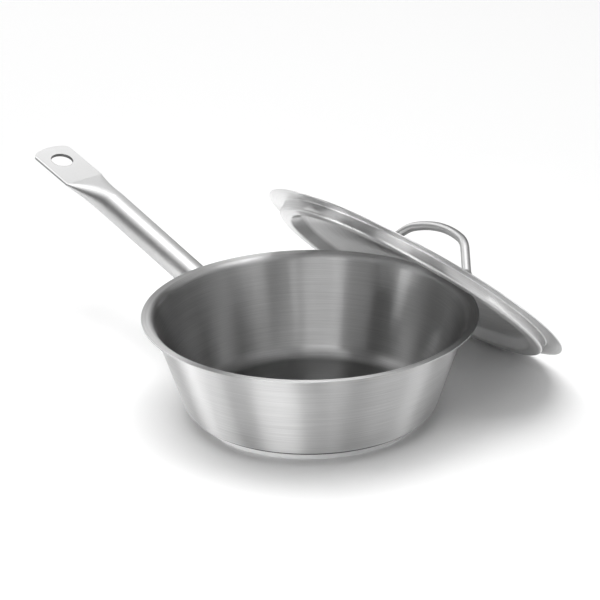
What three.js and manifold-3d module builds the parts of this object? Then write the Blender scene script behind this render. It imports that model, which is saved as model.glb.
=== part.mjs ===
// Braising pan with lid: a conical sheet steel pan on a sandwich base, with a hollow tube handle that
// is pressed flat at its end. The domed lid, lifted by a bent rod bow, leans on the pan's lip and
// stands on the table with the low edge of its flange.
// Millimetres, +Z up. The origin is the centre of the base's underside. The handle points along -X.

import * as THREE from "three";
import { mergeVertices } from "three/addons/utils/BufferGeometryUtils.js";
import Module from "manifold-3d";

const wasm = await Module();
wasm.setup();

// Driving dimensions, in millimetres and degrees

// Pan
const rimRadius = 126; // edge of the pouring lip
const rimHeight = 81; // top of the lip above the table
const panSheet = 0.9;
const lipWidth = 8; // from the bend of the wall to the lip's edge
const lipRise = 5; // slope of the lip, outwards and up
const wallLean = 18.6; // from upright
const flareBend = 5.5; // bend radius between wall and lip
const cornerBend = 12.5; // bend radius between wall and floor

// Sandwich base
const baseHeight = 5;
const baseInset = 1.1; // from the end of the flat floor to the side of the base
const capSheet = 0.6;
const capBend = 1.3;

// Tube handle
const tubePitch = 16.8;
const tubeRadius = 11.1;
const tubeSheet = 1.2;
const straightLength = 134.5; // round stretch, from the wall
const flattenLength = 40; // from round to flat
const flattenEase = 1.5; // 1 would flatten evenly, more flattens later
const plateLength = 50;
const plateDip = 1.6; // the plate lies this much flatter than the tube
const plateWidth = 35.4;
const plateEndRadius = 32;
const plateCornerRadius = 8;
const hangHoleRadius = 8.9;
const hangHoleInset = 19.9; // from the plate's end

// Foot of the handle
const footSheet = 2;
const footWidth = 48;
const footMargin = 1;
const footDrop = 1.2; // from the lip's bend down to the edge of the foot
const weldLeg = 1.5;
const neckLength = 24;

// Lid
const lidOverhang = 0.4; // past the pan's lip
const lidSheet = 0.9;
const flangeBend = 1.6;
const skirtClearance = 2; // to the pan's wall when the lid is closed
const skirtUndercut = 0.6;
const skirtBend = 1.9;
const channelDepth = 8.9; // below the flange
const channelWidth = 9.5;
const channelBend = 3;
const shoulderWidth = 7; // slope between the channel and the dome
const shoulderDrop = 1.1; // start of the dome below the flange
const shoulderBend = 7;
const domeSphere = 328; // radius of the dome

// Bow of the lid
const bowRod = 7;
const bowTurn = -16.1; // about the lid's axis
const bowHeight = 26.3; // middle of the rod above the dome's top
const bowTopRadius = 124.5;
const bowTopSpread = 15;
const bowKneeRadius = 29.5;
const bowLegSlope = 45;
const padLength = 22;
const padWidth = 15;
const padSheet = 3;

// Lean of the lid
const leanTilt = 42; // from level
const leanTurn = 3; // about the pan's axis, from +Y
const leanStep = 7; // sideways along the rim, away from the handle

// Clearance between pieces that touch
const seatGap = 0.3;

// Fineness of round stretches
const turnSegments = 60;
const bendTolerance = 0.1; // from a facet to its arc
const domeSteps = 6;
const tubeSides = 24;
const flattenSteps = 8;
const outlineSides = 10; // of each round stretch of an outline
const rodSteps = 36;
const rodHalfSides = 6;
const kneeSteps = 2;
const topSteps = 5;
const holeSides = 32;

const { degToRad } = THREE.MathUtils;
const tan = (degrees) => Math.tan(degToRad(degrees));
const cos = (degrees) => Math.cos(degToRad(degrees));
const sin = (degrees) => Math.sin(degToRad(degrees));

// Profiles of turned and pressed pieces, as points of radius and height

// A path through corners, each [radius, height, bend]: a bend is an arc tangent to both sides.
function bentPath(corners) {
  const points = corners.map(([radius, height]) => new THREE.Vector2(radius, height));
  return points.flatMap((point, index) => {
    const bend = corners[index][2];
    if (!bend) return [point];
    const back = points[index - 1].clone().sub(point).normalize();
    const on = points[index + 1].clone().sub(point).normalize();
    const turn = Math.PI - Math.acos(THREE.MathUtils.clamp(back.dot(on), -1, 1));
    const facet = 2 * Math.acos(1 - bendTolerance / bend);
    const steps = Math.max(2, Math.ceil(turn / facet));
    const reach = bend * Math.tan(turn / 2);
    const middle = back.clone().add(on).normalize().multiplyScalar(bend / Math.cos(turn / 2)).add(point);
    const start = back.clone().multiplyScalar(reach).add(point).sub(middle);
    const way = Math.sign(back.cross(on)) * -1;
    return Array.from({ length: steps + 1 }, (_, step) =>
      start.clone().rotateAround(new THREE.Vector2(), (way * turn * step) / steps).add(middle),
    );
  });
}

// The same path moved sideways, to its left for a positive distance.
function beside(path, distance) {
  return path.map((point, index) => {
    const before = path[Math.max(index - 1, 0)];
    const after = path[Math.min(index + 1, path.length - 1)];
    const inTurn = point.clone().sub(before).normalize();
    const outTurn = after.clone().sub(point).normalize();
    const along = inTurn.clone().add(outTurn).normalize();
    const stretch = index > 0 && index < path.length - 1 ? along.dot(outTurn) : 1;
    const side = new THREE.Vector2(-along.y, along.x);
    if (point.x === 0) side.set(0, Math.sign(side.y));
    return point.clone().addScaledVector(side, distance / stretch);
  });
}

// A sheet of even thickness about a path that starts on the axis.
function sheetProfile(path, thickness) {
  return [...beside(path, -thickness / 2), ...beside(path, thickness / 2).reverse()];
}

function turned(profile) {
  return new THREE.LatheGeometry(profile, turnSegments).rotateX(Math.PI / 2);
}

// Joins and cuts

function solid(geometry) {
  const bare = geometry.clone();
  bare.deleteAttribute("normal");
  bare.deleteAttribute("uv");
  const merged = mergeVertices(bare);
  const corners = merged.index.array;
  const triangles = [];
  for (let first = 0; first < corners.length; first += 3) {
    const [a, b, c] = corners.slice(first, first + 3);
    if (a !== b && b !== c && c !== a) triangles.push(a, b, c);
  }
  return new wasm.Manifold(
    new wasm.Mesh({
      numProp: 3,
      vertProperties: new Float32Array(merged.attributes.position.array),
      triVerts: new Uint32Array(triangles),
    }),
  );
}

function geometryOf(manifold) {
  const { vertProperties, triVerts } = manifold.getMesh();
  const geometry = new THREE.BufferGeometry();
  geometry.setAttribute("position", new THREE.BufferAttribute(vertProperties, 3));
  geometry.setIndex(new THREE.BufferAttribute(triVerts, 1));
  geometry.computeVertexNormals();
  return geometry;
}

// Finishes

const brushedSteel = new THREE.MeshStandardMaterial({ color: 0xb9b9b7, roughness: 0.32, metalness: 1 });
const polishedSteel = new THREE.MeshStandardMaterial({ color: 0xd6d6d4, roughness: 0.14, metalness: 1 });
const satinSteel = new THREE.MeshStandardMaterial({ color: 0xcacac8, roughness: 0.24, metalness: 1 });
const weldSteel = new THREE.MeshStandardMaterial({ color: 0x9d9b97, roughness: 0.45, metalness: 1 });
const rawAluminium = new THREE.MeshStandardMaterial({ color: 0xc2c4c6, roughness: 0.5, metalness: 1 });

function piece(name, geometry, material) {
  const mesh = new THREE.Mesh(geometry, material);
  mesh.name = name;
  return mesh;
}

const pan = new THREE.Group();

// Pan shell: floor, corner, conical wall and lip, drawn from one sheet

const floorHeight = baseHeight + seatGap + panSheet / 2;
const bendRadius = rimRadius - lipWidth;
const bendHeight = rimHeight - panSheet / 2 - lipWidth * tan(lipRise);
const wallRadius = (height) => bendRadius - (bendHeight - height) * tan(wallLean);
const wallHalf = panSheet / 2 / cos(wallLean); // half the sheet, measured level

const panPath = bentPath([
  [0, floorHeight],
  [wallRadius(floorHeight), floorHeight, cornerBend],
  [bendRadius, bendHeight, flareBend],
  [rimRadius, rimHeight - panSheet / 2],
]);
pan.add(piece("pan_shell", turned(sheetProfile(panPath, panSheet)), brushedSteel));

// Sandwich base: an aluminium disc under the flat of the floor, closed by a steel cup

const cornerReach = (cornerBend - panSheet / 2) * Math.tan(degToRad(90 - wallLean) / 2);
const flatRadius = wallRadius(floorHeight) + wallHalf - cornerReach;
const baseRadius = flatRadius - baseInset;

const capPath = bentPath([
  [0, capSheet / 2],
  [baseRadius - capSheet / 2, capSheet / 2, capBend],
  [baseRadius - capSheet / 2, baseHeight],
]);
pan.add(piece("base_cap", turned(sheetProfile(capPath, capSheet)), polishedSteel));

const coreRadius = baseRadius - capSheet - seatGap;
const coreBottom = capSheet + seatGap;
const coreProfile = bentPath([
  [0, coreBottom],
  [coreRadius, coreBottom, capBend],
  [coreRadius, baseHeight],
  [0, baseHeight],
]);
pan.add(piece("base_core", turned(coreProfile), rawAluminium));

// Handle: its own frame has +X along the tube, away from the wall, and +Z up from the plate

const weldRadius = tubeRadius + seatGap + weldLeg;
const footHalf = weldRadius + footMargin;
const footRise = (footHalf * cos(wallLean)) / cos(wallLean + tubePitch); // upper half of the foot on the wall

const flareReach = flareBend * tan((90 - wallLean - lipRise) / 2);
const wallTop = bendHeight - flareReach * cos(wallLean); // where the wall starts to bend into the lip
const handleHeight = wallTop - footDrop - footRise; // where the tube's axis meets the wall
const attachRadius = wallRadius(handleHeight) + wallHalf;
const handleFrame = new THREE.Matrix4().makeBasis(
  new THREE.Vector3(-cos(tubePitch), 0, sin(tubePitch)),
  new THREE.Vector3(0, -1, 0),
  new THREE.Vector3(sin(tubePitch), 0, cos(tubePitch)),
);
handleFrame.setPosition(-attachRadius, 0, handleHeight);
const onHandle = (geometry) => solid(geometry.applyMatrix4(handleFrame));

const plateStart = straightLength + flattenLength;
const handleLength = plateStart + plateLength;
const holeStation = handleLength - hangHoleInset;
const plateThickness = 2 * tubeSheet;
const sunk = 2 * tubeRadius; // how far cutters and the tube's blank reach past the wall

// Half height and half width of the tube's section: a circle that flattens to a slot shape.
function section(station, inset) {
  const pressed = THREE.MathUtils.clamp((station - straightLength) / flattenLength, 0, 1) ** flattenEase;
  const halfHeight = THREE.MathUtils.lerp(tubeRadius, plateThickness / 2, pressed);
  const halfWidth = THREE.MathUtils.lerp(tubeRadius, plateWidth / 2, pressed);
  return { halfHeight: halfHeight - inset, halfWidth: halfWidth - inset };
}

// A closed skin along the handle through the given stations, inset from the outer surface.
function tubeSkin(stations, inset) {
  const last = stations.length - 1;
  const skin = new THREE.CylinderGeometry(1, 1, last, tubeSides, last);
  const places = skin.attributes.position;
  for (let index = 0; index < places.count; index += 1) {
    const up = places.getX(index);
    const across = places.getZ(index);
    const station = stations[Math.round(places.getY(index) + last / 2)];
    const { halfHeight, halfWidth } = section(station, inset);
    const flat = Math.sign(Math.round(across * tubeSides)) * (halfWidth - halfHeight);
    const dip = Math.max(station - straightLength, 0) * tan(plateDip);
    places.setXYZ(index, station, halfHeight * across + flat, halfHeight * up - dip);
  }
  return skin;
}

const pressStations = Array.from(
  { length: flattenSteps + 1 },
  (_, step) => straightLength + (flattenLength * step) / flattenSteps,
);

// Outline of the handle from above, with the plate's round end.
function plateOutline() {
  const half = plateWidth / 2;
  const arcMiddle = handleLength - plateEndRadius;
  const cornerSide = half - plateCornerRadius;
  const cornerAlong = Math.sqrt((plateEndRadius - plateCornerRadius) ** 2 - cornerSide ** 2);
  const meet = Math.atan2(cornerSide, cornerAlong);
  const outline = new THREE.Shape();
  outline.moveTo(-sunk, half);
  outline.lineTo(-sunk, -half);
  outline.absarc(arcMiddle + cornerAlong, -cornerSide, plateCornerRadius, -Math.PI / 2, -meet);
  outline.absarc(arcMiddle, 0, plateEndRadius, -meet, meet);
  outline.absarc(arcMiddle + cornerAlong, cornerSide, plateCornerRadius, meet, Math.PI / 2);
  return outline;
}

// A cutter with the wall's cone, standing a given distance outside the wall's outer face.
function wallCutter(distance) {
  const out = wallHalf + distance / cos(wallLean);
  const low = floorHeight;
  const high = rimHeight + sunk;
  return solid(
    turned([
      new THREE.Vector2(0, low),
      new THREE.Vector2(wallRadius(low) + out, low),
      new THREE.Vector2(wallRadius(high) + out, high),
      new THREE.Vector2(0, high),
    ]),
  );
}

// A cutter with all that lies inside the pan's outer face and over its lip, with the gap of a seat.
const panBlock = solid(
  turned([
    ...beside(panPath, -panSheet / 2 - seatGap),
    new THREE.Vector2(rimRadius, rimHeight + sunk),
    new THREE.Vector2(0, rimHeight + sunk),
  ]),
);

function rodAlong(radius, length) {
  const rod = new THREE.CylinderGeometry(radius, radius, length + sunk, tubeSides);
  return rod.rotateZ(-Math.PI / 2).translate((length - sunk) / 2, 0, 0);
}

const footFace = seatGap + footSheet; // outer face of the foot, from the wall
const tubeEnd = footFace + seatGap;
const plateHeight = 4 * tubeRadius; // depth of the outline's cut, past both faces of the tube

const blank = onHandle(tubeSkin([-sunk, ...pressStations, handleLength + plateEndRadius], 0));
const hollow = onHandle(tubeSkin([-2 * sunk, ...pressStations.slice(0, -1)], tubeSheet));
const outline = onHandle(
  new THREE.ExtrudeGeometry(plateOutline(), { depth: plateHeight, bevelEnabled: false, curveSegments: outlineSides })
    .translate(0, 0, -plateHeight / 2),
);
const hangHole = onHandle(
  new THREE.CylinderGeometry(hangHoleRadius, hangHoleRadius, plateHeight, holeSides)
    .rotateX(Math.PI / 2)
    .rotateY(degToRad(plateDip))
    .translate(holeStation, 0, (straightLength - holeStation) * tan(plateDip)),
);
const tube = blank
  .intersect(outline)
  .subtract(hollow)
  .subtract(hangHole)
  .subtract(wallCutter(tubeEnd))
  .subtract(panBlock);
pan.add(piece("handle_tube", geometryOf(tube), satinSteel));

// Foot of the handle: a saddle plate on the wall with a neck inside the tube, and the weld round the tube

function footOutline() {
  const straight = footWidth / 2 - footHalf;
  const shape = new THREE.Shape();
  shape.absarc(straight, 0, footHalf, -Math.PI / 2, Math.PI / 2);
  shape.absarc(-straight, 0, footHalf, Math.PI / 2, (3 * Math.PI) / 2);
  return shape;
}

const footBlank = onHandle(
  new THREE.ExtrudeGeometry(footOutline(), { depth: 2 * sunk, bevelEnabled: false, curveSegments: outlineSides })
    .rotateX(Math.PI / 2)
    .rotateZ(Math.PI / 2)
    .translate(-sunk, 0, 0),
);
const neckRadius = tubeRadius - tubeSheet - seatGap;
const footPlate = footBlank.intersect(wallCutter(footFace));
const neck = onHandle(rodAlong(neckRadius, neckLength))
  .subtract(onHandle(rodAlong(neckRadius - footSheet, neckLength + sunk)).subtract(wallCutter(footFace)));
const foot = footPlate.add(neck).subtract(panBlock);
pan.add(piece("handle_foot", geometryOf(foot), satinSteel));

const weld = onHandle(rodAlong(weldRadius, neckLength))
  .subtract(onHandle(rodAlong(tubeRadius + seatGap, neckLength + sunk)))
  .intersect(wallCutter(tubeEnd + weldLeg))
  .subtract(wallCutter(tubeEnd))
  .subtract(panBlock);
pan.add(piece("handle_weld", geometryOf(weld), weldSteel));

// Lid: its own frame has +Z along the lid's axis and the flange at height 0

const lidRadius = rimRadius + lidOverhang;
const skirtRadius = wallRadius(rimHeight - channelDepth) - wallHalf - skirtClearance;
const channelInner = skirtRadius - channelWidth;
const domeRadius = channelInner - shoulderWidth;
const domeRise = domeSphere - Math.sqrt(domeSphere ** 2 - domeRadius ** 2);
const domeTop = domeRise - shoulderDrop;
const domeHeight = (radius, offset) =>
  domeTop - domeSphere + Math.sqrt((domeSphere + offset) ** 2 - radius ** 2);

const domePath = Array.from({ length: domeSteps }, (_, step) => {
  const radius = (domeRadius * step) / domeSteps;
  return [radius, domeHeight(radius, 0)];
});
const lidPath = bentPath([
  ...domePath,
  [domeRadius, -shoulderDrop, shoulderBend],
  [channelInner, -channelDepth, channelBend],
  [skirtRadius, -channelDepth, skirtBend],
  [skirtRadius - skirtUndercut, 0, flangeBend],
  [lidRadius, 0],
]);

const lid = new THREE.Group();
lid.add(piece("lid_shell", turned(sheetProfile(lidPath, lidSheet)), brushedSteel));

// Bow: a rod bent in arcs, symmetric about the lid's axis, with feet pressed flat on the dome

const bowTop = domeTop + lidSheet / 2 + bowHeight;
const kneeStart = new THREE.Vector2(
  bowTopRadius * sin(bowTopSpread),
  bowTop - bowTopRadius * (1 - cos(bowTopSpread)),
);
const legStart = new THREE.Vector2(
  kneeStart.x + bowKneeRadius * (sin(bowLegSlope) - sin(bowTopSpread)),
  kneeStart.y - bowKneeRadius * (cos(bowTopSpread) - cos(bowLegSlope)),
);

// The leg runs on down its slope to the middle of the foot's sheet, which follows the dome.
const padMiddle = lidSheet / 2 + seatGap + padSheet / 2;
const inBow = ({ x, y }) => new THREE.Vector3(x, 0, y);
const leg = new THREE.Ray(inBow(legStart), new THREE.Vector3(cos(bowLegSlope), 0, -sin(bowLegSlope)));
const padSphere = new THREE.Sphere(new THREE.Vector3(0, 0, domeTop - domeSphere), domeSphere + padMiddle);
const footPlace = leg.intersectSphere(padSphere, new THREE.Vector3());
const footPoint = new THREE.Vector2(footPlace.x, footPlace.z);

const arcPoint = (middleX, middleY, radius, angle) =>
  new THREE.Vector2(middleX + radius * sin(angle), middleY + radius * cos(angle));
const kneeMiddle = new THREE.Vector2(
  legStart.x - bowKneeRadius * sin(bowLegSlope),
  legStart.y - bowKneeRadius * cos(bowLegSlope),
);
const arcAngles = (from, to, steps) =>
  Array.from({ length: steps + 1 }, (_, step) => THREE.MathUtils.lerp(from, to, step / steps));
const legMiddle = footPoint.clone().add(legStart).divideScalar(2);
const knee = arcAngles(bowLegSlope, bowTopSpread, kneeSteps)
  .map((angle) => arcPoint(kneeMiddle.x, kneeMiddle.y, bowKneeRadius, angle));
const top = arcAngles(bowTopSpread, -bowTopSpread, topSteps)
  .map((angle) => arcPoint(0, bowTop - bowTopRadius, bowTopRadius, angle));
const side = [footPoint, legMiddle, ...knee];
const otherSide = side.map(({ x, y }) => new THREE.Vector2(-x, y)).reverse();
const bowCurve = new THREE.CatmullRomCurve3([...side, ...top.slice(1, -1), ...otherSide].map(inBow));
const onBow = (geometry) => solid(geometry.rotateZ(degToRad(bowTurn)));

const rodShape = new THREE.Shape().absarc(0, 0, bowRod / 2, 0, 2 * Math.PI);
const rod = new THREE.ExtrudeGeometry(rodShape, {
  steps: rodSteps,
  curveSegments: rodHalfSides,
  extrudePath: bowCurve,
});

// One foot of the bow, lying along the dome's slope.
function pad(way) {
  const straight = (padLength - padWidth) / 2;
  const shape = new THREE.Shape();
  shape.absarc(straight, 0, padWidth / 2, -Math.PI / 2, Math.PI / 2);
  shape.absarc(-straight, 0, padWidth / 2, Math.PI / 2, (3 * Math.PI) / 2);
  const depth = 2 * padSheet; // the lower half is cut away along the dome
  const slope = Math.asin(footPoint.x / padSphere.radius);
  return onBow(
    new THREE.ExtrudeGeometry(shape, { depth, bevelEnabled: false, curveSegments: outlineSides })
      .translate(padWidth / 4, 0, padSheet / 2 - depth)
      .rotateY(slope)
      .translate(footPoint.x, 0, footPoint.y)
      .rotateZ(way > 0 ? 0 : Math.PI),
  );
}

// A cutter with all that lies under the lid's outer face, with the gap of a seat.
const lidBlock = solid(
  turned([
    new THREE.Vector2(0, -2 * channelDepth),
    new THREE.Vector2(lidRadius, -2 * channelDepth),
    ...beside(lidPath, lidSheet / 2 + seatGap).reverse(),
  ]),
);
const bow = onBow(rod).add(pad(1)).add(pad(-1)).subtract(lidBlock);
lid.add(piece("lid_bow", geometryOf(bow), satinSteel));

// Lean: the flange's low edge stands on the table and the dome's underside lies on the pan's lip

const hollowSphere = domeSphere - lidSheet / 2 - seatGap;
const sphereDrop = domeSphere - domeTop; // from the flange's plane down to the dome's centre
const lidHeight = seatGap + lidRadius * sin(leanTilt) + (lidSheet / 2) * cos(leanTilt);
const sphereHeight = lidHeight - sphereDrop * cos(leanTilt);
const sphereReach = Math.sqrt(hollowSphere ** 2 - (rimHeight - sphereHeight) ** 2) - rimRadius;
const lidReach = sphereDrop * sin(leanTilt) - Math.sqrt(sphereReach ** 2 - leanStep ** 2);

lid.rotation.order = "ZXY";
lid.rotation.set(degToRad(-leanTilt), 0, degToRad(leanTurn));
lid.position.set(leanStep, lidReach, lidHeight);
lid.position.applyAxisAngle(new THREE.Vector3(0, 0, 1), degToRad(leanTurn));

const braisingPan = new THREE.Group();
braisingPan.add(pan, lid);

export default braisingPan;
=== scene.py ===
from math import asin, atan2, cos, hypot, pi, radians, sin, sqrt, tan

import bmesh
import bpy
from mathutils import Matrix, Vector


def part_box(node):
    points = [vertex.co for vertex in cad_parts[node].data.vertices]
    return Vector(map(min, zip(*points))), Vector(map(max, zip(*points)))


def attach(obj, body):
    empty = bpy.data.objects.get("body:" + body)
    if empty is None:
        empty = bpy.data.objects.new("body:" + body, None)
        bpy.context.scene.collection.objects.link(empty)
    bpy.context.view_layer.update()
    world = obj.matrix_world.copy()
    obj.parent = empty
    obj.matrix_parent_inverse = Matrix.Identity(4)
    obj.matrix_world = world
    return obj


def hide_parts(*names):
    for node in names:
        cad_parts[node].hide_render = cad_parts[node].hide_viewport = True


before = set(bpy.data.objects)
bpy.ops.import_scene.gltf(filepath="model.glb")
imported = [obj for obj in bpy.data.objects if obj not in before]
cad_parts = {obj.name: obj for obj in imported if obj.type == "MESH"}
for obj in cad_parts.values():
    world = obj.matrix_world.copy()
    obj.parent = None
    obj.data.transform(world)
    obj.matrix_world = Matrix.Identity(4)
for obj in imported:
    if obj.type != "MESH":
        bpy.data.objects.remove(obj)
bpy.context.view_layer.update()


# Pan shell
# The bowl is deep-drawn from one disc of stainless sheet: flat floor, round corner, conical wall, flared lip.
# It is brushed while it turns on a lathe, so fine lines run round it inside and out.

pan_low, pan_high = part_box("pan_shell")
pan_sheet = 0.0009
lip_radius = pan_high.x
lip_height = pan_high.z - pan_sheet / 2
lip_width = 0.008
lip_rise = radians(5)
lip_bend = 0.0055
wall_lean = radians(18.6)
floor_height = pan_low.z + pan_sheet / 2
floor_bend = 0.0125
flare_radius = lip_radius - lip_width
flare_height = lip_height - lip_width * tan(lip_rise)
thin_edge_ease = 0.0002
bend_steps = 10
round_steps = 192
merge_reach = 1e-6


def wall_radius(height):
    """Radius of the middle of the wall's sheet at a height above the table."""
    return flare_radius - (flare_height - height) * tan(wall_lean)


floor_edge = wall_radius(floor_height)


def bent_wire(mesh, corners, start=None):
    """A wire in the XZ plane through corners (radius, height, bend), each rounded to its bend."""
    points = [mesh.verts.new((radius, 0, height)) for radius, height, bend in corners]
    bends = [bend for radius, height, bend in corners]
    if start:
        points.insert(0, start)
        bends.insert(0, 0)
    for first, second in zip(points, points[1:]):
        mesh.edges.new((first, second))
    rounded = []
    for before, point, after, bend in zip(points, points[1:], points[2:], bends[1:]):
        half_corner = (before.co - point.co).angle(after.co - point.co) / 2
        rounded.append((point, bend / tan(half_corner)))
    for point, reach in rounded:
        bmesh.ops.bevel(
            mesh,
            geom=[point],
            offset=reach,
            offset_type="OFFSET",
            affect="VERTICES",
            segments=bend_steps,
            profile=0.5,
            material=-1,
        )


def finished(name, mesh, modifiers):
    """An object of the mesh after the modifiers (type, settings), which are settled into it."""
    raw = bpy.data.meshes.new(name)
    mesh.to_mesh(raw)
    mesh.free()
    raw.shade_smooth()
    piece = bpy.data.objects.new(name, raw)
    bpy.context.collection.objects.link(piece)
    for kind, settings in modifiers:
        modifier = piece.modifiers.new(kind, kind)
        for setting, value in settings.items():
            setattr(modifier, setting, value)
    settled = piece.evaluated_get(bpy.context.evaluated_depsgraph_get())
    piece.data = bpy.data.meshes.new_from_object(settled)
    piece.modifiers.clear()
    bpy.data.meshes.remove(raw)
    piece.data.name = name
    return piece


def sheet(thickness):
    return "SOLIDIFY", {"thickness": thickness, "offset": 0, "use_even_offset": True}


def eased_edges(width):
    return "BEVEL", {"width": width, "segments": 3, "limit_method": "ANGLE", "angle_limit": radians(45)}


even_shading = "WEIGHTED_NORMAL", {"keep_sharp": True}


def closed(mesh):
    """Merges the doubles that a turn leaves and points the faces outwards."""
    bmesh.ops.remove_doubles(mesh, verts=mesh.verts[:], dist=merge_reach)
    bmesh.ops.recalc_face_normals(mesh, faces=mesh.faces[:])


def full_turn(mesh, axis):
    """Turns all that is in the mesh once round an axis through the origin."""
    profile = mesh.verts[:] + mesh.edges[:]
    bmesh.ops.spin(
        mesh, geom=profile, cent=(0, 0, 0), axis=axis, angle=2 * pi, steps=round_steps, use_merge=True
    )
    closed(mesh)


def turned_sheet(name, mesh, thickness, place=Matrix()):
    """A piece pressed from sheet: the wire in the mesh turned round Z, thickened and set in its place."""
    full_turn(mesh, (0, 0, 1))
    bmesh.ops.transform(mesh, matrix=place, verts=mesh.verts[:])
    return finished(name, mesh, [sheet(thickness), eased_edges(thin_edge_ease), even_shading])


class Shade:
    """A socket in a material's nodes; sums on it add Math nodes."""

    def __init__(self, tree, socket=None):
        self.tree = tree
        self.socket = socket

    def node(self, kind, settings, inputs, output=0):
        """A new node of this kind with its settings, then the values or links of its sockets."""
        node = self.tree.nodes.new(kind)
        for setting, value in settings.items():
            setattr(node, setting, value)
        for name, value in inputs.items():
            if isinstance(value, Shade):
                self.tree.links.new(value.socket, node.inputs[name])
            else:
                node.inputs[name].default_value = value
        return Shade(self.tree, node.outputs[output])

    def math(self, operation, first, second):
        return self.node("ShaderNodeMath", {"operation": operation}, {0: first, 1: second})

    def vector_math(self, operation, second=(0, 0, 0), output=0):
        return self.node("ShaderNodeVectorMath", {"operation": operation}, {0: self, 1: second}, output)

    def part(self, axis):
        return self.node("ShaderNodeSeparateXYZ", {}, {0: self}, axis)

    def level(self):
        """A place without its height."""
        return self.vector_math("MULTIPLY", (1, 1, 0))

    def length(self):
        return self.vector_math("LENGTH", output="Value")

    def over(self, limit):
        """1 where the value is over the limit, 0 elsewhere."""
        return self.math("GREATER_THAN", self, limit)

    def into(self, shader, name):
        self.tree.links.new(self.socket, shader.inputs[name])

    def __add__(self, other):
        return self.math("ADD", self, other)

    def __radd__(self, other):
        return self.math("ADD", other, self)

    def __sub__(self, other):
        return self.math("SUBTRACT", self, other)

    def __rsub__(self, other):
        return self.math("SUBTRACT", other, self)

    def __mul__(self, other):
        return self.math("MULTIPLY", self, other)

    def __rmul__(self, other):
        return self.math("MULTIPLY", other, self)


def bare_metal(name, colour, roughness, anisotropic=0):
    """A metal with these constants; gives the material, its shader and the piece's Object coordinates."""
    quarter_turn = 0.25
    material = bpy.data.materials.new(name)
    material.use_nodes = True
    shader = material.node_tree.nodes["Principled BSDF"]
    shader.inputs["Base Color"].default_value = colour
    shader.inputs["Metallic"].default_value = 1
    shader.inputs["Roughness"].default_value = roughness
    shader.inputs["Anisotropic"].default_value = anisotropic
    shader.inputs["Anisotropic Rotation"].default_value = quarter_turn
    place = Shade(material.node_tree).node("ShaderNodeTexCoord", {}, {}, "Object")
    return material, shader, place


def noise(place, scale):
    return place.node("ShaderNodeTexNoise", {}, {"Vector": place, "Scale": scale}, "Fac")


def grey(level):
    return level, level, level, 1


def tinted(amount, start, end):
    """A colour from a start to an end by an amount from 0 to 1; a Mix node's sockets 6 and 7 take colours."""
    return amount.node("ShaderNodeMix", {"data_type": "RGBA"}, {0: amount, 6: start, 7: end}, 2)


def streaky(pattern, level, contrast):
    """A grey that gets darker and lighter with a pattern, by a share of itself."""
    return tinted(pattern, grey(level * (1 - contrast)), grey(level * (1 + contrast)))


def uneven(mean, *marks):
    """A value that rises and falls about its mean with marks (pattern, amount)."""
    total = mean
    for pattern, amount in marks:
        total = total + amount * (pattern - 0.5)
    return total


def fade(value, start, end):
    """0 before the start, 1 past the end and even between them."""
    return value.node("ShaderNodeMapRange", {}, {"Value": value, "From Min": start, "From Max": end})


def bumped(height, distance, strength):
    return height.node("ShaderNodeBump", {}, {"Height": height, "Distance": distance, "Strength": strength})


def brush_round(place, streak, line):
    """Grooves round the Z axis of the place: streaks of that turn in radians, lines that far apart."""
    level = place.level()
    about = level.vector_math("NORMALIZE")
    along_x = about.part("X") * (1 / streak)
    along_y = about.part("Y") * (1 / streak)
    rise = (level.length() + place.part("Z")) * (1 / line)
    grooves = place.node("ShaderNodeCombineXYZ", {}, {0: along_x, 1: along_y, 2: rise})
    return noise(grooves, 1)


groove_dulling = 0.08
groove_depth = 0.00004
groove_strength = 0.025
handling_scale = 30
handling_dulling = 0.06


def brush_marks(shader, place, grooves, roughness):
    """Brushed steel shines less in its grooves and where hands have rubbed it."""
    handling = noise(place, handling_scale)
    uneven(roughness, (grooves, groove_dulling), (handling, handling_dulling)).into(shader, "Roughness")
    bumped(grooves, groove_depth, groove_strength).into(shader, "Normal")


pan_grey = 0.62
pan_contrast = 0.2
outside_roughness = 0.5
inside_roughness = 0.33
pan_steel, pan_shader, pan_place = bare_metal("pan_steel", grey(pan_grey), outside_roughness, anisotropic=1)
pan_grooves = brush_round(pan_place, streak=0.5, line=0.0008)

# The outer face looks away from the axis or down, and its brushing is coarser.
outer_way = pan_place.level().vector_math("NORMALIZE").vector_math("SUBTRACT", (0, 0, 1))
facing = pan_place.node("ShaderNodeNewGeometry", {}, {}, "Normal")
outside = facing.vector_math("DOT_PRODUCT", outer_way, "Value").over(0)
pan_roughness = inside_roughness + (outside_roughness - inside_roughness) * outside
brush_marks(pan_shader, pan_place, pan_grooves, pan_roughness)

# The flat floor inside is painted dark, fading out towards the corner: painted shade at the bottom of the
# bowl.
floor_shade_fade = 0.011
floor_shade_grey = 0.1
floor_shade_strength = 0.75
from_axis = pan_place.level().length()
floor_painted_shade = floor_shade_strength * fade(from_axis, floor_edge, floor_edge - floor_shade_fade) * (1 - outside)

# A dark line of painted shade runs in the crease where the wall's foot meets the base.
crease_shade_top = 0.0094
crease_shade_fade = 0.0006
crease_shade_colour = (0.04, 0.038, 0.036, 1)
crease_shade = outside * fade(pan_place.part("Z"), crease_shade_top, crease_shade_top - crease_shade_fade)
brushed_tint = streaky(pan_grooves, pan_grey, pan_contrast)
# The floor's painted shade darkens the brushed tint inside the bowl.
floor_shaded_tint = tinted(floor_painted_shade, brushed_tint, grey(floor_shade_grey))
# The crease's painted shade goes over the rest of the pan's tint.
tinted(crease_shade, floor_shaded_tint, crease_shade_colour).into(pan_shader, "Base Color")

pan_mesh = bmesh.new()
bent_wire(
    pan_mesh,
    [
        (0, floor_height, 0),
        (floor_edge, floor_height, floor_bend),
        (flare_radius, flare_height, lip_bend),
        (lip_radius, lip_height, 0),
    ],
)
pan_shell = turned_sheet("pan_shell_brushed", pan_mesh, pan_sheet)
pan_shell.data.materials.append(pan_steel)
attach(pan_shell, "pan")
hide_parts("pan_shell")


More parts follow.
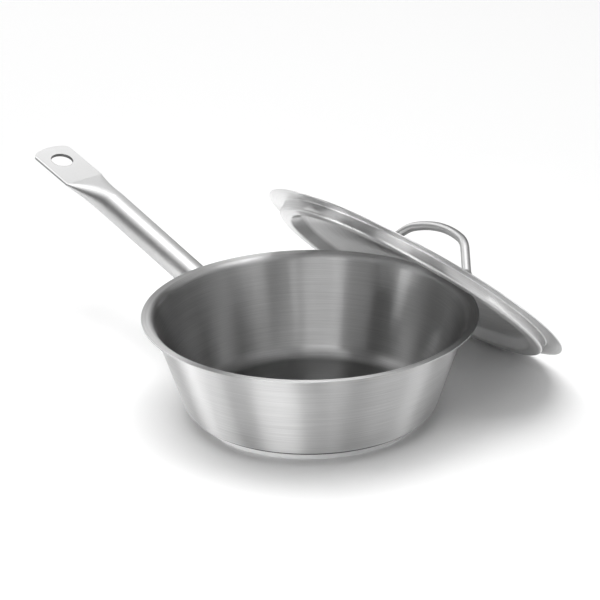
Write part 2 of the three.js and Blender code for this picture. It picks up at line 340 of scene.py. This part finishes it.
# Base core
# A disc of aluminium that spreads the heat, pressed between the pan's floor and the cap below it.
# It is shut in on all sides; its sawn and pressed face is dull.

core_colour = (0.74, 0.75, 0.76, 1)
core_dark = (0.66, 0.67, 0.68, 1)
core_light = (0.8, 0.81, 0.82, 1)
core_roughness = 0.45
core_dulling = 0.2
core_grain_scale = 400
core_aluminium, core_shader, core_place = bare_metal("core_aluminium", core_colour, core_roughness)
core_grain = noise(core_place, core_grain_scale)
tinted(core_grain, core_dark, core_light).into(core_shader, "Base Color")
uneven(core_roughness, (core_grain, core_dulling)).into(core_shader, "Roughness")
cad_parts["base_core"].material_slots[0].material = core_aluminium


# Base cap
# A cup of thin stainless sheet that closes the sandwich base; its upright side is the bright band.
# It is pressed on with great force while hot and then turned to a fine, light satin on the lathe.

cap_low, cap_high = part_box("base_cap")
cap_sheet = 0.0006
cap_bend = 0.0013
cap_radius = cap_high.x - cap_sheet / 2
cap_floor = cap_low.z + cap_sheet / 2

cap_grey = 0.94
cap_contrast = 0.06
cap_roughness = 0.75
base_steel, cap_shader, cap_place = bare_metal("base_steel", grey(cap_grey), cap_roughness)
cap_grooves = brush_round(cap_place, streak=0.6, line=0.0006)
streaky(cap_grooves, cap_grey, cap_contrast).into(cap_shader, "Base Color")
uneven(cap_roughness, (cap_grooves, groove_dulling)).into(cap_shader, "Roughness")

cap_mesh = bmesh.new()
bent_wire(
    cap_mesh,
    [(0, cap_floor, 0), (cap_radius, cap_floor, cap_bend), (cap_radius, cap_high.z, 0)],
)
base_cap = turned_sheet("base_cap_polished", cap_mesh, cap_sheet)
base_cap.data.materials.append(base_steel)
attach(base_cap, "pan")
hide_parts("base_cap")


# Handle foot
# A saddle pressed from thick sheet and spot-welded to the thin wall, so that the handle can't tear it.
# Its short neck stands inside the tube and carries it.

seat_gap = 0.0003
foot_low, foot_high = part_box("handle_foot")
foot_sheet = 0.002
foot_half_width = foot_high.y
foot_half_height = 0.0139
foot_edge_ease = 0.0006
neck_length = 0.024
neck_radius = 0.0096
tube_pitch = radians(16.8)
wall_half = pan_sheet / 2 / cos(wall_lean)
foot_drop = 0.0012
flare_reach = lip_bend * tan((pi / 2 - wall_lean - lip_rise) / 2)
foot_rise = foot_half_height * cos(wall_lean) / cos(wall_lean + tube_pitch)
handle_height = flare_height - flare_reach * cos(wall_lean) - foot_drop - foot_rise
handle_root = Vector((-wall_radius(handle_height) - wall_half, 0, handle_height))

# The handle's own frame has X along the tube, away from the wall, and Z up from its plate.
handle_frame = Matrix.Translation(handle_root) @ Matrix(
    (
        (-cos(tube_pitch), 0, sin(tube_pitch), 0),
        (0, -1, 0, 0),
        (sin(tube_pitch), 0, cos(tube_pitch), 0),
        (0, 0, 0, 1),
    )
)


def station_at_wall(across, up, gap):
    """How far along the handle a line beside its axis starts, at a gap from the wall's outer face."""
    station = 0
    settling_steps = 8
    for step in range(settling_steps):
        point = handle_frame @ Vector((station, across, up))
        target = wall_radius(point.z) + wall_half + gap / cos(wall_lean)
        station += target - hypot(point.x, point.y)
    return station


rubbing_scale = 90
rubbing_dulling = 0.08
grain_scale = 900
grain_dulling = 0.04
grain_contrast = 0.05
grain_depth = 0.00003
grain_strength = 0.04


def satin(name, level, roughness):
    """Steel that was tumbled and polished by hand: hardly any grain, soft clouds of rubbing."""
    material, shader, place = bare_metal(name, grey(level), roughness)
    rubbing = noise(place, rubbing_scale)
    grain = noise(place, grain_scale)
    tint = streaky(grain, level, grain_contrast)
    tint.into(shader, "Base Color")
    uneven(roughness, (rubbing, rubbing_dulling), (grain, grain_dulling)).into(shader, "Roughness")
    bumped(grain, grain_depth, grain_strength).into(shader, "Normal")
    return material, shader, place, tint


handle_grey = 0.6
handle_roughness = 0.43
handle_steel, handle_shader, handle_place, handle_tint = satin("handle_steel", handle_grey, handle_roughness)

foot_mesh = bmesh.new()
bmesh.ops.create_grid(foot_mesh, x_segments=40, y_segments=16, size=1)
foot_straight = foot_half_width - foot_half_height
for vertex in foot_mesh.verts:
    across = foot_half_width * sin(vertex.co.x * pi / 2)
    past = max(abs(across) - foot_straight, 0)
    half = sqrt(max(foot_half_height**2 - past**2, 0))
    height = handle_height + vertex.co.y * foot_rise * half / foot_half_height
    radius = wall_radius(height) + wall_half + (seat_gap + foot_sheet / 2) / cos(wall_lean)
    vertex.co = (-sqrt(radius**2 - across**2), across, height)
closed(foot_mesh)
neck = bmesh.ops.create_cone(
    foot_mesh,
    segments=48,
    radius1=neck_radius - foot_sheet / 2,
    radius2=neck_radius - foot_sheet / 2,
    depth=neck_length,
    matrix=Matrix.Translation((neck_length / 2, 0, 0)) @ Matrix.Rotation(pi / 2, 4, "Y"),
)
for vertex in neck["verts"]:
    if vertex.co.x < neck_length / 2:
        vertex.co.x = station_at_wall(vertex.co.y, vertex.co.z, seat_gap + foot_sheet)
bmesh.ops.transform(foot_mesh, matrix=handle_frame, verts=neck["verts"])
foot_finish = [sheet(foot_sheet), eased_edges(foot_edge_ease), even_shading]
handle_foot = finished("handle_foot_pressed", foot_mesh, foot_finish)
handle_foot.data.materials.append(handle_steel)
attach(handle_foot, "pan")
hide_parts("handle_foot")


# Handle tube
# A round steel tube, closed by pressing its far end flat into a plate with a hole to hang it by.
# Its open end is shoved over the foot's neck, and the whole is polished to a satin.

tube_low, tube_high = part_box("handle_tube")
tube_radius = 0.0111
tube_sheet = 0.0012
tube_sides = 96
straight_length = 0.1345
flatten_length = 0.04
flatten_ease = 1.5
flatten_steps = 32
plate_length = 0.05
plate_dip = radians(1.6)
plate_half = tube_high.y
plate_end_radius = 0.032
plate_corner = 0.008
plate_corner_steps = 24
plate_edge_ease = 0.0004
hole_radius = 0.0089
hole_inset = 0.0199
handle_length = straight_length + flatten_length + plate_length
hole_station = handle_length - hole_inset
past_plate = 0.02
cutter_height = 0.06
tube_start = 2 * seat_gap + foot_sheet
on_axis = 1e-4

# The tube's rings run from the wall to the plate; past its straight length each is pressed flatter.
tube_mesh = bmesh.new()
bmesh.ops.create_cone(tube_mesh, cap_ends=True, segments=tube_sides, radius1=1, radius2=1, depth=2)
lengthwise = [edge for edge in tube_mesh.edges if abs(edge.verts[0].co.z - edge.verts[1].co.z) > 1]
bmesh.ops.subdivide_edges(tube_mesh, edges=lengthwise, cuts=flatten_steps + 1, use_grid_fill=True)
for vertex in tube_mesh.verts:
    up, across, along = vertex.co
    ring = round((along + 1) / 2 * (flatten_steps + 2)) - 1
    pressed = min(max(ring / flatten_steps, 0), 1) ** flatten_ease
    half_height = tube_radius + (tube_sheet - tube_radius) * pressed
    half_width = tube_radius + (plate_half - tube_radius) * pressed
    station = straight_length + flatten_length * ring / flatten_steps
    if ring < 0:
        station = station_at_wall(across * tube_radius, up * tube_radius, tube_start)
    if ring > flatten_steps:
        station = handle_length + past_plate
    flat = 0 if abs(across) < on_axis else (half_width - half_height) * across / abs(across)
    oval = half_width * across
    side = oval + (half_height * across + flat - oval) * pressed
    dip = max(station - straight_length, 0) * tan(plate_dip)
    vertex.co = (station, side, half_height * up - dip)
bmesh.ops.recalc_face_normals(tube_mesh, faces=tube_mesh.faces[:])
bmesh.ops.transform(tube_mesh, matrix=handle_frame, verts=tube_mesh.verts[:])

# The plate's outline: two straight sides, two round corners and a shallow arc over its end.
corner_side = plate_half - plate_corner
end_middle = handle_length - plate_end_radius
corner_along = end_middle + sqrt((plate_end_radius - plate_corner) ** 2 - corner_side**2)
corner_meet = atan2(corner_side, corner_along - end_middle)
outline_low = -cutter_height / 2
outline_mesh = bmesh.new()
outline_sides = plate_half, -plate_half
outline_start = [outline_mesh.verts.new((-past_plate, side, outline_low)) for side in outline_sides]
outline_last = outline_mesh.verts.new((corner_along, -plate_half, outline_low))
outline_mesh.edges.new(outline_start)
outline_mesh.edges.new((outline_start[1], outline_last))
for middle, turn in [
    ((corner_along, -corner_side), pi / 2 - corner_meet),
    ((end_middle, 0), 2 * corner_meet),
    ((corner_along, corner_side), pi / 2 - corner_meet),
]:
    arc = bmesh.ops.spin(
        outline_mesh,
        geom=[outline_last],
        cent=(*middle, 0),
        axis=(0, 0, 1),
        angle=turn,
        steps=plate_corner_steps,
    )
    outline_last = arc["geom_last"][0]
outline_mesh.edges.new((outline_last, outline_start[0]))
outline_face = bmesh.ops.contextual_create(outline_mesh, geom=outline_mesh.edges[:])["faces"]
outline_grown = bmesh.ops.extrude_face_region(outline_mesh, geom=outline_face)["geom"]
outline_top = [part for part in outline_grown if isinstance(part, bmesh.types.BMVert)]
bmesh.ops.translate(outline_mesh, vec=(0, 0, cutter_height), verts=outline_top)
bmesh.ops.recalc_face_normals(outline_mesh, faces=outline_mesh.faces[:])
bmesh.ops.transform(outline_mesh, matrix=handle_frame, verts=outline_mesh.verts[:])
outline_cutter = finished("plate_outline_cutter", outline_mesh, [])

hole_place = Matrix.Translation((hole_station, 0, (straight_length - hole_station) * tan(plate_dip)))
hole_frame = handle_frame @ hole_place @ Matrix.Rotation(plate_dip, 4, "Y")
hole_mesh = bmesh.new()
bmesh.ops.create_cone(
    hole_mesh,
    cap_ends=True,
    segments=tube_sides,
    radius1=hole_radius,
    radius2=hole_radius,
    depth=cutter_height,
    matrix=hole_frame,
)
hole_cutter = finished("hang_hole_cutter", hole_mesh, [])


def seen_from(place, own_frame):
    """A place in the coordinates of a frame of the piece's own."""
    settings = {"vector_type": "TEXTURE"}
    inputs = {"Vector": place, "Location": own_frame.to_translation(), "Rotation": own_frame.to_euler()}
    return place.node("ShaderNodeMapping", settings, inputs)


# The wall of the hole is painted dark: painted shade inside the hole.
hole_shade_grey = 0.12
hole_shade_margin = 0.0002
from_hole = seen_from(handle_place, hole_frame).level().length()
outside_hole_shade = from_hole.over(hole_radius + hole_shade_margin)
tinted(outside_hole_shade, grey(hole_shade_grey), handle_tint).into(handle_shader, "Base Color")


def cut(operation, cutter):
    return "BOOLEAN", {"operation": operation, "solver": "EXACT", "object": cutter}


plate_cuts = [cut("INTERSECT", outline_cutter), cut("DIFFERENCE", hole_cutter)]
tube_finish = plate_cuts + [eased_edges(plate_edge_ease), even_shading]
handle_tube = finished("handle_tube_satin", tube_mesh, tube_finish)
for cutter in outline_cutter, hole_cutter:
    bpy.data.objects.remove(cutter)
handle_tube.data.materials.clear()
handle_tube.data.materials.append(handle_steel)
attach(handle_tube, "pan")
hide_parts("handle_tube")


# Handle weld
# The bead that joins the tube's end to the saddle all round, laid by hand and lightly brushed.
# It follows the line where the tube meets the curved wall, with the ripples of its passes.

weld_bead = 0.0014
weld_ring = tube_radius + weld_bead / 3
weld_ripples = 64
weld_ripple_depth = 0.12

weld_colour = (0.5, 0.5, 0.485, 1)
weld_dark = (0.38, 0.36, 0.33, 1)
weld_light = (0.58, 0.58, 0.57, 1)
weld_roughness = 0.4
weld_dulling = 0.3
weld_scale_size = 500
weld_scale_depth = 0.0002
weld_scale_strength = 0.4
weld_steel, weld_shader, weld_place = bare_metal("weld_steel", weld_colour, weld_roughness)
weld_scale = noise(weld_place, weld_scale_size)
tinted(weld_scale, weld_dark, weld_light).into(weld_shader, "Base Color")
uneven(weld_roughness, (weld_scale, weld_dulling)).into(weld_shader, "Roughness")
bumped(weld_scale, weld_scale_depth, weld_scale_strength).into(weld_shader, "Normal")

weld_mesh = bmesh.new()
bmesh.ops.create_circle(
    weld_mesh, segments=16, radius=weld_bead, matrix=Matrix.Translation((0, weld_ring, 0))
)
full_turn(weld_mesh, (1, 0, 0))
for vertex in weld_mesh.verts:
    about = atan2(vertex.co.z, vertex.co.y)
    middle = Vector((0, cos(about), sin(about))) * weld_ring
    swell = 1 + weld_ripple_depth * sin(weld_ripples * about)
    along = Vector((station_at_wall(middle.y, middle.z, seat_gap + foot_sheet), 0, 0))
    vertex.co = middle + (vertex.co - middle) * swell + along
bmesh.ops.transform(weld_mesh, matrix=handle_frame, verts=weld_mesh.verts[:])
handle_weld = finished("handle_weld_bead", weld_mesh, [])
handle_weld.data.materials.append(weld_steel)
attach(handle_weld, "pan")
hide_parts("handle_weld")


# Lid shell
# A lid pressed from one disc of stainless sheet: domed middle, shoulder, channel, upright skirt, flange.
# The skirt sits inside the pan's wall when it is closed; here the lid leans on the lip.

lid_low, lid_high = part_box("lid_shell")
lean_tilt = radians(42)
lean_turn = radians(3)
lid_sheet = 0.0009
flange_overhang = 0.0004
flange_bend = 0.0016
skirt_clearance = 0.002
skirt_undercut = 0.0006
skirt_bend = 0.0019
channel_depth = 0.0089
channel_width = 0.0095
channel_bend = 0.003
shoulder_width = 0.007
shoulder_drop = 0.0011
shoulder_bend = 0.007
dome_sphere = 0.328
dome_steps = 20
dome_share = 0.92
lid_radius = lip_radius + flange_overhang
skirt_radius = wall_radius(pan_high.z - channel_depth) - wall_half - skirt_clearance
channel_inner = skirt_radius - channel_width
dome_radius = channel_inner - shoulder_width
dome_rise = dome_sphere - sqrt(dome_sphere**2 - dome_radius**2)
dome_top = dome_rise - shoulder_drop

# The lid's own frame has Z along its axis and the flange at height 0.
lid_middle = (lid_low + lid_high) / 2
lid_turn = Matrix.Rotation(lean_turn, 4, "Z") @ Matrix.Rotation(-lean_tilt, 4, "X")
lid_frame = Matrix.Translation(lid_middle) @ lid_turn

lid_grey = 0.65
lid_contrast = 0.18
lid_roughness = 0.3
lid_steel, lid_shader, row_place = bare_metal("lid_steel", grey(lid_grey), lid_roughness, anisotropic=1)
lid_place = seen_from(row_place, lid_frame)
lid_grooves = brush_round(lid_place, streak=0.5, line=0.0007)
streaky(lid_grooves, lid_grey, lid_contrast).into(lid_shader, "Base Color")
brush_marks(lid_shader, lid_place, lid_grooves, lid_roughness)

# The dome is an arc of its sphere up to near the shoulder, and the bent wire goes on from there.
lid_mesh = bmesh.new()
dome_crown = lid_mesh.verts.new((0, 0, dome_top))
dome_arc = bmesh.ops.spin(
    lid_mesh,
    geom=[dome_crown],
    cent=(0, 0, dome_top - dome_sphere),
    axis=(0, 1, 0),
    angle=asin(dome_share * dome_radius / dome_sphere),
    steps=dome_steps,
)
bent_wire(
    lid_mesh,
    [
        (dome_radius, -shoulder_drop, shoulder_bend),
        (channel_inner, -channel_depth, channel_bend),
        (skirt_radius, -channel_depth, skirt_bend),
        (skirt_radius - skirt_undercut, 0, flange_bend),
        (lid_radius, 0, 0),
    ],
    start=dome_arc["geom_last"][0],
)
lid_shell = turned_sheet("lid_shell_brushed", lid_mesh, lid_sheet, lid_frame)
lid_shell.data.materials.append(lid_steel)
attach(lid_shell, "lid")
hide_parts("lid_shell")


# Lid bow
# A round steel rod bent to a low bow to lift the lid by; its two ends are pressed flat.
# The flat feet lie on the dome and are spot-welded to it.

bow_rod = 0.0035
bow_turn = radians(-16.1)
bow_height = 0.0263
bow_top_radius = 0.1245
bow_top_spread = radians(15)
bow_knee_radius = 0.0295
bow_leg_slope = radians(45)
bow_bend_steps = 12
pad_half_width = 0.0075
pad_half_sheet = 0.0015
pad_bend = 0.009
pad_run = 0.0145
pad_steps = 24
pad_press_share = 0.5
pad_tip_least = 0.02
bow_top = dome_top + lid_sheet / 2 + bow_height


def off_slope(slope):
    """The way that stands square on a slope which falls along X."""
    return Vector((sin(slope), 0, cos(slope)))


def down_slope(slope):
    return Vector((cos(slope), 0, -sin(slope)))


top_middle = Vector((0, 0, bow_top - bow_top_radius))
knee_middle = top_middle + off_slope(bow_top_spread) * (bow_top_radius - bow_knee_radius)
leg_start = knee_middle + off_slope(bow_leg_slope) * bow_knee_radius
leg_way = down_slope(bow_leg_slope)

# The leg's line meets the middle of the foot's sheet, which follows the dome; the bend starts before that.
pad_sphere = dome_sphere + lid_sheet / 2 + seat_gap + pad_half_sheet
from_centre = leg_start - Vector((0, 0, dome_top - dome_sphere))
half_way = from_centre.dot(leg_way)
leg_reach = -half_way - sqrt(half_way**2 - from_centre.length_squared + pad_sphere**2)
pad_slope = asin((leg_start + leg_way * leg_reach).x / pad_sphere)
pad_turn = bow_leg_slope - pad_slope
leg_length = leg_reach - pad_bend * tan(pad_turn / 2)

bow_grey = 0.48
bow_roughness = 0.46
bow_steel = satin("bow_steel", bow_grey, bow_roughness)[0]


def drawn_on(mesh, ring, move):
    """Extrudes a ring of edges and moves the new ring, which is given back."""
    grown = bmesh.ops.extrude_edge_only(mesh, edges=ring)["geom"]
    verts = [part for part in grown if isinstance(part, bmesh.types.BMVert)]
    bmesh.ops.transform(mesh, matrix=move, verts=verts)
    fresh = set(verts)
    links = dict.fromkeys(edge for vert in verts for edge in vert.link_edges)
    return [edge for edge in links if fresh.issuperset(edge.verts)]


def turn_about(point, angle):
    return Matrix.Translation(point) @ Matrix.Rotation(angle, 4, "Y") @ Matrix.Translation(-point)


bow_mesh = bmesh.new()
bow_start = Matrix.Translation((0, 0, bow_top)) @ Matrix.Rotation(pi / 2, 4, "Y")
bmesh.ops.create_circle(bow_mesh, segments=40, radius=bow_rod, matrix=bow_start)
bow_ring = bow_mesh.edges[:]
for middle, turn in [(top_middle, bow_top_spread), (knee_middle, bow_leg_slope - bow_top_spread)]:
    for step in range(bow_bend_steps):
        bow_ring = drawn_on(bow_mesh, bow_ring, turn_about(middle, turn / bow_bend_steps))
bow_ring = drawn_on(bow_mesh, bow_ring, Matrix.Translation(leg_way * leg_length))

# The end bends level with the dome while it is pressed flat, and its tip is round.
pad_middle = leg_start + leg_way * leg_length
pad_centre = pad_middle + off_slope(bow_leg_slope) * pad_bend
pad_length = pad_bend * pad_turn + pad_run
pad_step = pad_length / pad_steps
slope = bow_leg_slope
half_width, half_sheet = bow_rod, bow_rod
for step in range(1, pad_steps + 1):
    gone = pad_step * step
    if gone <= pad_bend * pad_turn:
        move = turn_about(pad_centre, -pad_step / pad_bend)
        slope -= pad_step / pad_bend
    else:
        move = Matrix.Translation(down_slope(slope) * pad_step)
    pad_middle = move @ pad_middle
    share = min(gone / (pad_length * pad_press_share), 1)
    pressed = share * share * (3 - 2 * share)
    tip = max(gone - (pad_length - pad_half_width), 0) / pad_half_width
    new_width = (bow_rod + (pad_half_width - bow_rod) * pressed) * sqrt(max(1 - tip**2, pad_tip_least))
    new_sheet = bow_rod + (pad_half_sheet - bow_rod) * pressed
    local = Matrix.Translation(pad_middle) @ Matrix.Rotation(slope, 4, "Y")
    press = Matrix.Diagonal((1, new_width / half_width, new_sheet / half_sheet, 1))
    bow_ring = drawn_on(bow_mesh, bow_ring, local @ press @ local.inverted() @ move)
    half_width, half_sheet = new_width, new_sheet
bmesh.ops.contextual_create(bow_mesh, geom=bow_ring)
bow_half = bow_mesh.verts[:] + bow_mesh.edges[:] + bow_mesh.faces[:]
bmesh.ops.mirror(bow_mesh, geom=bow_half, merge_dist=merge_reach, axis="X")
closed(bow_mesh)
bmesh.ops.transform(bow_mesh, matrix=lid_frame @ Matrix.Rotation(bow_turn, 4, "Z"), verts=bow_mesh.verts[:])
lid_bow = finished("lid_bow_satin", bow_mesh, [even_shading])
lid_bow.data.materials.append(bow_steel)
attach(lid_bow, "lid")
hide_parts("lid_bow")


# Studio
# A wide floor of matt white paint that keeps the pan's soft shadow, soft boxes round the table as a
# product studio has them, and a camera at the photograph's angle.

ground_half = 30
ground_white = 0.98
ground_roughness = 0.9
ground_mesh = bmesh.new()
bmesh.ops.create_grid(ground_mesh, x_segments=1, y_segments=1, size=ground_half)
studio_floor = finished("studio_floor", ground_mesh, [])
floor_paint = bpy.data.materials.new("floor_paint")
floor_paint.use_nodes = True
paint_shader = floor_paint.node_tree.nodes["Principled BSDF"]
paint_shader.inputs["Base Color"].default_value = grey(ground_white)
paint_shader.inputs["Roughness"].default_value = ground_roughness
paint_shader.inputs["Specular IOR Level"].default_value = 0
studio_floor.data.materials.append(floor_paint)

room_grey = 0.05
studio = bpy.data.worlds.new("studio")
bpy.context.scene.world = studio
studio.use_nodes = True
studio.node_tree.nodes["Background"].inputs["Color"].default_value = grey(room_grey)

camera_distance = 2.6
camera_azimuth = radians(50)
camera_height = radians(24.7064)
camera_aim = Vector((-0.02986, 0.01542, 0.07787))
camera_roll = radians(-0.848)
camera_lens = 206.6


def studio_way(turn, height):
    """A direction from the pan: a turn to the right of the camera's own, and a height over the table."""
    about = camera_azimuth + turn
    return Vector((sin(about) * cos(height), -cos(about) * cos(height), sin(height)))


camera_place = camera_distance * studio_way(0, camera_height)
camera = bpy.data.objects.new("camera", bpy.data.cameras.new("camera"))
bpy.context.collection.objects.link(camera)
camera.data.lens = camera_lens
camera_look = (camera_aim - camera_place).to_track_quat("-Z", "Y").to_matrix().to_4x4()
camera.matrix_world = Matrix.Translation(camera_place) @ camera_look @ Matrix.Rotation(camera_roll, 4, "Z")
bpy.context.scene.camera = camera
bpy.context.scene.view_settings.view_transform = "Standard"

table_distance = 0.42
panel_distance = 0.6
room_distance = 3


def soft_box(name, distance, turn, height, width, tall, brightness):
    """An area lamp that faces the pan; its turn, its height and the angles that it fills are in degrees."""
    lamp = bpy.data.objects.new(name, bpy.data.lights.new(name, "AREA"))
    bpy.context.collection.objects.link(lamp)
    lamp.visible_camera = False
    way = studio_way(radians(turn), radians(height))
    look = (-way).to_track_quat("-Z", "Y").to_matrix().to_4x4()
    lamp.matrix_world = Matrix.Translation(way * distance) @ look
    lamp.data.shape = "RECTANGLE"
    lamp.data.size = 2 * distance * tan(radians(width / 2))
    lamp.data.size_y = 2 * distance * tan(radians(tall / 2))
    lamp.data.energy = brightness * pi * lamp.data.size * lamp.data.size_y


# Cards and strips stand close round the pan and draw the soft bands on its wall and in its bowl.
soft_box("left_card", table_distance, turn=-77, height=8.5, width=38, tall=15, brightness=3.3)
soft_box("front_left_card", table_distance, turn=-22, height=5.5, width=30, tall=10, brightness=6)
soft_box("front_card", table_distance, turn=18, height=8.5, width=12, tall=15, brightness=1.1)
soft_box("front_left_panel", table_distance, turn=-38, height=24, width=34, tall=16, brightness=0.65)
soft_box("front_strip", table_distance, turn=13, height=23, width=5, tall=12, brightness=2.4)
soft_box("front_right_card", table_distance, turn=54, height=24, width=30, tall=20, brightness=1.1)
soft_box("right_card", table_distance, turn=75, height=14, width=16, tall=18, brightness=1.7)
soft_box("left_strip", table_distance, turn=-83, height=17, width=9, tall=10, brightness=4.4)
soft_box("back_card", table_distance, turn=-160, height=26, width=40, tall=20, brightness=0.8)

# Panels light the lid's skirt and the handle, and boxes far off fill the room and whiten the floor.
soft_box("back_box", room_distance, turn=165, height=45, width=40, tall=20, brightness=0.25)
soft_box("front_panel", panel_distance, turn=-12, height=42, width=30, tall=24, brightness=1.8)
soft_box("handle_panel", panel_distance, turn=-116, height=48, width=30, tall=18, brightness=0.9)
soft_box("back_left_box", room_distance, turn=-142, height=32, width=30, tall=26, brightness=2.8)
soft_box("right_box", room_distance, turn=108, height=43, width=42, tall=44, brightness=0.9)
soft_box("overhead_box", room_distance, turn=180, height=84, width=44, tall=44, brightness=3.9)
